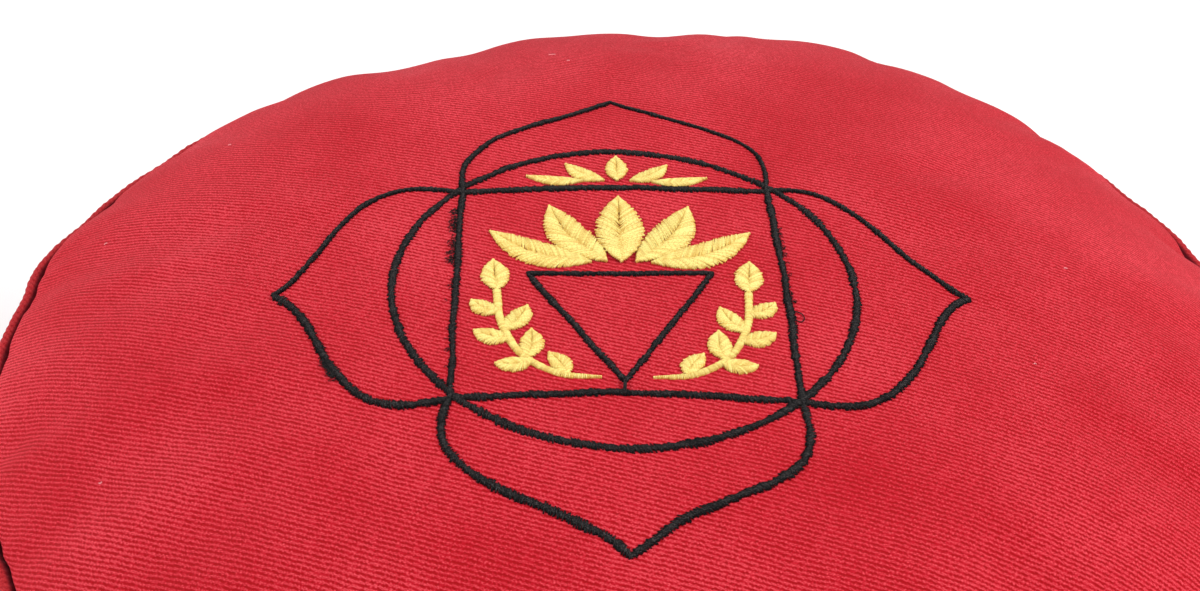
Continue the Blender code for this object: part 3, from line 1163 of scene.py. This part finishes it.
paleLint = {**goldThread, "dark": (0.80, 0.30, 0.32, 1), "light": (0.92, 0.66, 0.66, 1)}


def threadPiece(name, lines, yarn):  # each line has its radius, and its points with a height in mm
    curve = bpy.data.curves.new(name, "CURVE")
    curve.dimensions = "3D"
    curve.bevel_depth = 1.0
    curve.bevel_resolution = 1
    curve.use_fill_caps = True
    for radius, points in lines:
        line = curve.splines.new("POLY")
        line.points.add(len(points) - 1)
        for point, (u, v, up) in zip(line.points, points):
            spot, normal = onCloth(u, v)
            point.co = (*(spot + normal * (up * mm + radius)), 1)
            point.radius = radius
    curve.materials.append(yarn)
    piece = plainCopy(linkPiece(name + "Paths", curve), name)
    piece.data.shade_smooth()
    return piece


def loopPoints(centre, size, way, sweep):
    points = []
    for k in range(looseEnds["loopSteps"] + 1):
        turn = way + sweep * k / looseEnds["loopSteps"]
        x = centre.x + size * math.cos(turn)
        y = centre.y + looseEnds["loopFlatness"] * size * math.sin(turn)
        points.append((x, y, looseEnds["loopHeight"] * math.sin(math.pi * k / looseEnds["loopSteps"])))
    return points


def looseLines():
    draw = random.Random(looseEnds["seed"])
    lines = []
    for start, end, count, size in looseEnds["fringes"]:
        for _ in range(count):
            scatter = Vector((draw.uniform(-1, 1), draw.uniform(-1, 1))) * looseEnds["scatter"] * size
            centre = Vector(start).lerp(Vector(end), draw.random()) + scatter
            way = draw.uniform(0, 2 * math.pi)
            sweep = draw.uniform(*looseEnds["loopSweep"])
            wide = draw.uniform(*looseEnds["loopSize"]) * size
            lines.append((looseEnds["radius"], loopPoints(centre, wide, way, sweep)))
    curl = smoothLine(looseEnds["curl"], looseEnds["curlSteps"])
    jump = evenly([Vector(point) for point in looseEnds["jump"]], looseEnds["jumpStep"])
    for key, line in (("curl", curl), ("jump", jump)):
        height = looseEnds[key + "Height"]
        lines.append((looseEnds[key + "Radius"], [(point.x, point.y, height) for point in line]))
    return lines


def lintLines():
    draw = random.Random(looseEnds["seed"] + 1)
    shares = [k / 4 for k in range(5)]
    lines = []
    for u, v, length in looseEnds["lint"]:
        bend = draw.uniform(-looseEnds["lintBend"], looseEnds["lintBend"])
        rises = [v + bend * math.sin(math.pi * share) for share in shares]
        points = [(u + length * (share - 0.5), rise, 0.0) for share, rise in zip(shares, rises)]
        lines.append((looseEnds["lintRadius"], points))
    return lines


looseThread = threadPiece("looseThread", looseLines(), blackYarn)
lint = threadPiece("lint", lintLines(), threadMaterial("paleLint", paleLint))
print("loose ends ready")


# floor, light and camera

studio = {
    "floorSize": 12.0,
    "floorGrey": (0.8, 0.8, 0.8, 1),
    "floorColour": (0.90, 0.90, 0.90, 1),
    "floorRoughness": 0.9,
    "floorMottle": 0.02,
    "mottleScale": 3.0,
    "worldStrength": 0.46,
    "target": (0, 0, 0.12),
    "lamps": {  # watts, width and place
        "key": (28.0, 1.2, (1.5, -0.1, 1.4)),
        "frontKey": (12.0, 1.2, (1.4, -0.9, 1.1)),
        "fill": (30.0, 1.5, (-1.7, -0.05, 0.9)),
        "rim": (5.5, 1.4, (0.3, 1.8, 0.6)),
    },
}


def buildFloor():
    material, sheet = startMaterial("paleFloor")
    place = sheet.node("ShaderNodeTexCoord", None, None, "Object")
    mottle = sheet.mottle(place, studio["mottleScale"], dimensions="3D")
    share = 1 - studio["floorMottle"] / 2 + studio["floorMottle"] * mottle
    colour = sheet.blendColours(share, studio["floorGrey"], studio["floorColour"])
    finishMaterial(sheet, {"Base Color": colour, "Roughness": studio["floorRoughness"]})
    half = studio["floorSize"] / 2
    corners = [(-half, -half, 0), (half, -half, 0), (half, half, 0), (-half, half, 0)]
    mesh = bpy.data.meshes.new("floor")
    mesh.from_pydata(corners, [], [(0, 1, 2, 3)])
    mesh.materials.append(material)
    return linkPiece("floor", mesh)


def buildLights():
    scene = bpy.context.scene
    scene.view_settings.view_transform = "Standard"
    world = bpy.data.worlds.new("studio")
    scene.world = world
    world.use_nodes = True
    background = world.node_tree.nodes["Background"]
    background.inputs["Color"].default_value = (1, 1, 1, 1)
    background.inputs["Strength"].default_value = studio["worldStrength"]
    for name, (power, width, place) in studio["lamps"].items():
        light = bpy.data.lights.new(name, "AREA")
        light.energy = power
        light.size = width
        lamp = linkPiece(name, light)
        lamp.location = place
        lamp.rotation_euler = (Vector(studio["target"]) - lamp.location).to_track_quat("-Z", "Y").to_euler()


view = {
    "eye": (-15.2 * mm, -418.2 * mm, 347.6 * mm),  # from the middle of the top seam
    "down": math.radians(37.26),
    "roll": math.radians(2.95),
    "focalPixels": 2126.8,
    "imageWidth": 1200,  # pixels
    "sensorWidth": 36,  # mm
}


def buildCamera():
    lens = bpy.data.cameras.new("camera")
    lens.sensor_width = view["sensorWidth"]
    lens.lens = view["sensorWidth"] * view["focalPixels"] / view["imageWidth"]
    forward = Vector((0, math.cos(view["down"]), -math.sin(view["down"])))
    right = Vector((1, 0, 0))
    up = right.cross(forward)
    across = right * math.cos(view["roll"]) + up * math.sin(view["roll"])
    upward = up * math.cos(view["roll"]) - right * math.sin(view["roll"])
    turn = Matrix((across, upward, -forward)).transposed().to_4x4()
    camera = linkPiece("camera", lens)
    camera.matrix_world = Matrix.Translation(Vector(view["eye"]) + Vector((0, 0, topSeam))) @ turn
    bpy.context.scene.camera = camera


floor = buildFloor()
buildLights()
buildCamera()
print("studio ready")


# what each piece stands for

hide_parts("cushion")
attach(coverPiece, "root")
for node, piece in pipingPieces.items():
    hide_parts(node)
    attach(piece, "root")
for name, piece in embroidery.items():
    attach(piece, "root")
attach(looseThread, "root")
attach(lint, "root")
